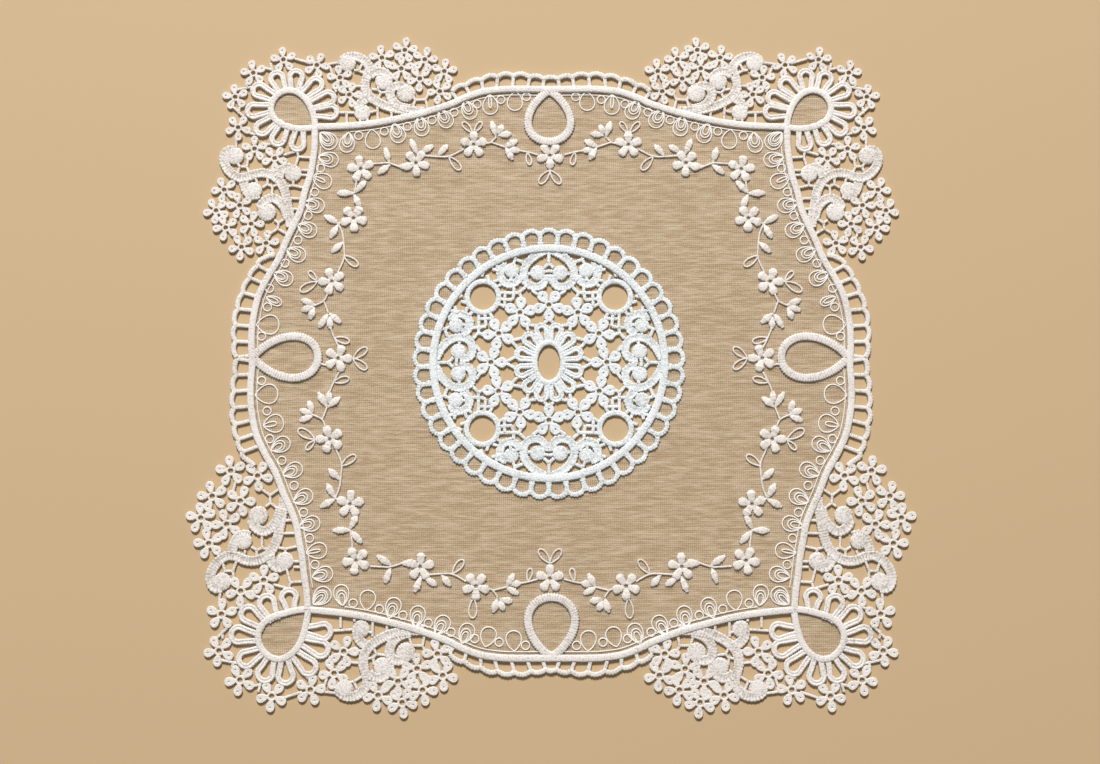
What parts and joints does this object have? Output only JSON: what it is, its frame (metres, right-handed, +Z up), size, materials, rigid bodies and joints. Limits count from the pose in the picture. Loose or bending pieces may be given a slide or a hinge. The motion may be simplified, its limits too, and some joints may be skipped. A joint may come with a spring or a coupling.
{
  "type": "lace doily",
  "caption": "Square table doily lying flat: sheer organza ground, scalloped needle-lace border with corner rosettes, and a round lace medallion in the middle.",
  "frame": {"origin": "middle of the doily's outline, on the surface it lies on", "axes": "+Z up from the table, +X along the wider side, +Y away from the near edge"},
  "size_m": [0.4054, 0.3808, 0.003],
  "materials": {
    "organza": "sheer plain-weave silk organza",
    "border_lace": "warm white cotton needle lace with satin-covered cord",
    "medallion_lace": "cool white cotton lace, slightly fuzzy"
  },
  "bodies": {
    "root": {"organza_ground": "organza", "lace_border": "border_lace", "centre_medallion": "medallion_lace"}
  },
  "joints": []
}
